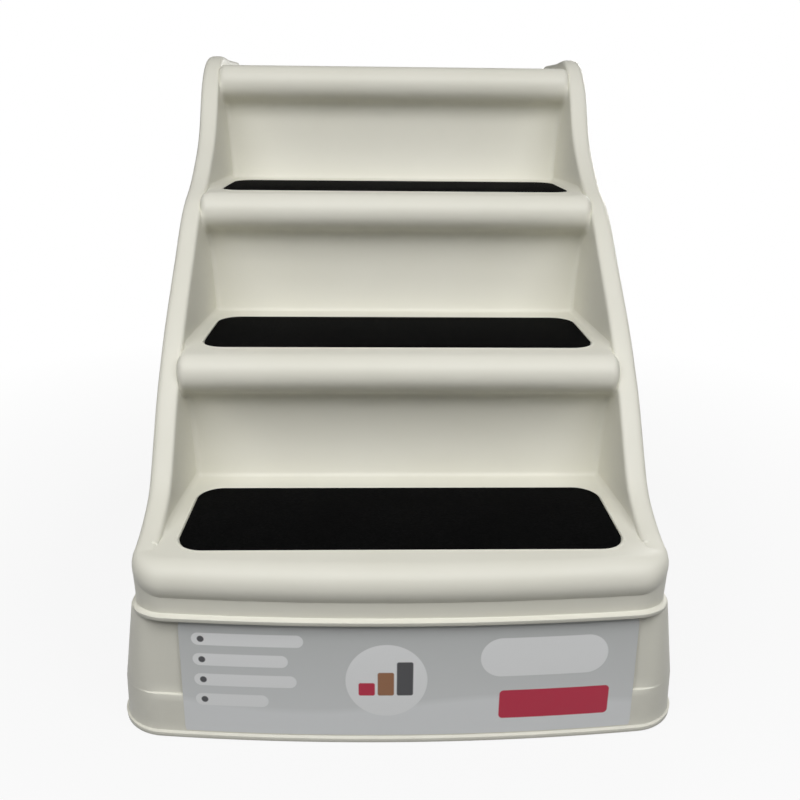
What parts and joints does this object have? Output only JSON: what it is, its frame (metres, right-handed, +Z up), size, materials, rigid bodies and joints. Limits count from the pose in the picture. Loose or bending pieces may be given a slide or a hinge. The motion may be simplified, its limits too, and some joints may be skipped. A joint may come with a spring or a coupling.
{
  "type": "pet stairs",
  "caption": "Folding moulded pet stairs with rounded side rails, non-slip treads, a bowed front base and a rear leg that fold under the steps.",
  "frame": {"origin": "middle of the footprint on the floor", "axes": "+X to the right seen from the front, +Y from the front towards the high end, +Z up"},
  "size_m": [0.446, 0.6601, 0.5],
  "materials": {
    "moulded_cream": "satin moulded polypropylene, fine grain",
    "tread_mat": "short-pile non-slip mat, black",
    "pin_steel": "zinc-plated steel pin",
    "rivet_steel": "plated rivet",
    "spring_steel": "blued spring steel",
    "nylon": "natural nylon",
    "button_plastic": "dark grey moulded button",
    "foot_rubber": "black rubber",
    "card": null
  },
  "bodies": {
    "shell": {"stair_shell": "moulded_cream", "tread_mat_1": "tread_mat", "tread_mat_2": "tread_mat", "tread_mat_3": "tread_mat", "tread_mat_4": "tread_mat", "rear_hinge_pin_left": "pin_steel", "rear_hinge_pin_right": "pin_steel", "front_hinge_pin_left": "pin_steel", "front_hinge_pin_right": "pin_steel", "rear_hinge_washers": "nylon", "front_hinge_washers": "nylon", "rear_button_guides": "nylon", "front_button_guides": "nylon"},
    "base": {"front_base": "moulded_cream", "front_lock_spring_left": "spring_steel", "front_lock_spring_right": "spring_steel", "front_spring_rivets": "rivet_steel", "front_foot_pads": "foot_rubber", "front_card": "card"},
    "leg": {"rear_leg": "moulded_cream", "rear_lock_spring_left": "spring_steel", "rear_lock_spring_right": "spring_steel", "rear_spring_rivets": "rivet_steel", "rear_foot_pads": "foot_rubber"},
    "rear_button_l": {"rear_button_left": "button_plastic"},
    "rear_button_r": {"rear_button_right": "button_plastic"},
    "front_button_l": {"front_button_left": "button_plastic"},
    "front_button_r": {"front_button_right": "button_plastic"}
  },
  "joints": [
    {"name": "rear_leg_hinge", "type": "hinge", "parent": "shell", "child": "leg", "pos_m": [0, 0.26578, 0.455], "axis": [1, 0, 0], "range_deg": [-57, 0], "deforming": ["rear_lock_spring_left", "rear_lock_spring_right"]},
    {"name": "front_base_hinge", "type": "hinge", "parent": "shell", "child": "base", "pos_m": [0, -0.28007, 0.1165], "axis": [1, 0, 0], "range_deg": [0, 90], "deforming": ["front_lock_spring_left", "front_lock_spring_right"]},
    {"name": "rear_button_left_press", "type": "slide", "parent": "shell", "child": "rear_button_l", "axis": [1, 0, 0], "range_m": [0, 0.003], "stiffness_N_per_m": 800, "springref_m": -0.003, "deforming": ["rear_lock_spring_left"]},
    {"name": "rear_button_right_press", "type": "slide", "parent": "shell", "child": "rear_button_r", "axis": [-1, 0, 0], "range_m": [0, 0.003], "stiffness_N_per_m": 800, "springref_m": -0.003, "deforming": ["rear_lock_spring_right"]},
    {"name": "front_button_left_press", "type": "slide", "parent": "shell", "child": "front_button_l", "axis": [-1, 0, 0], "range_m": [0, 0.003], "stiffness_N_per_m": 800, "springref_m": -0.003, "deforming": ["front_lock_spring_left"]},
    {"name": "front_button_right_press", "type": "slide", "parent": "shell", "child": "front_button_r", "axis": [1, 0, 0], "range_m": [0, 0.003], "stiffness_N_per_m": 800, "springref_m": -0.003, "deforming": ["front_lock_spring_right"]}
  ]
}
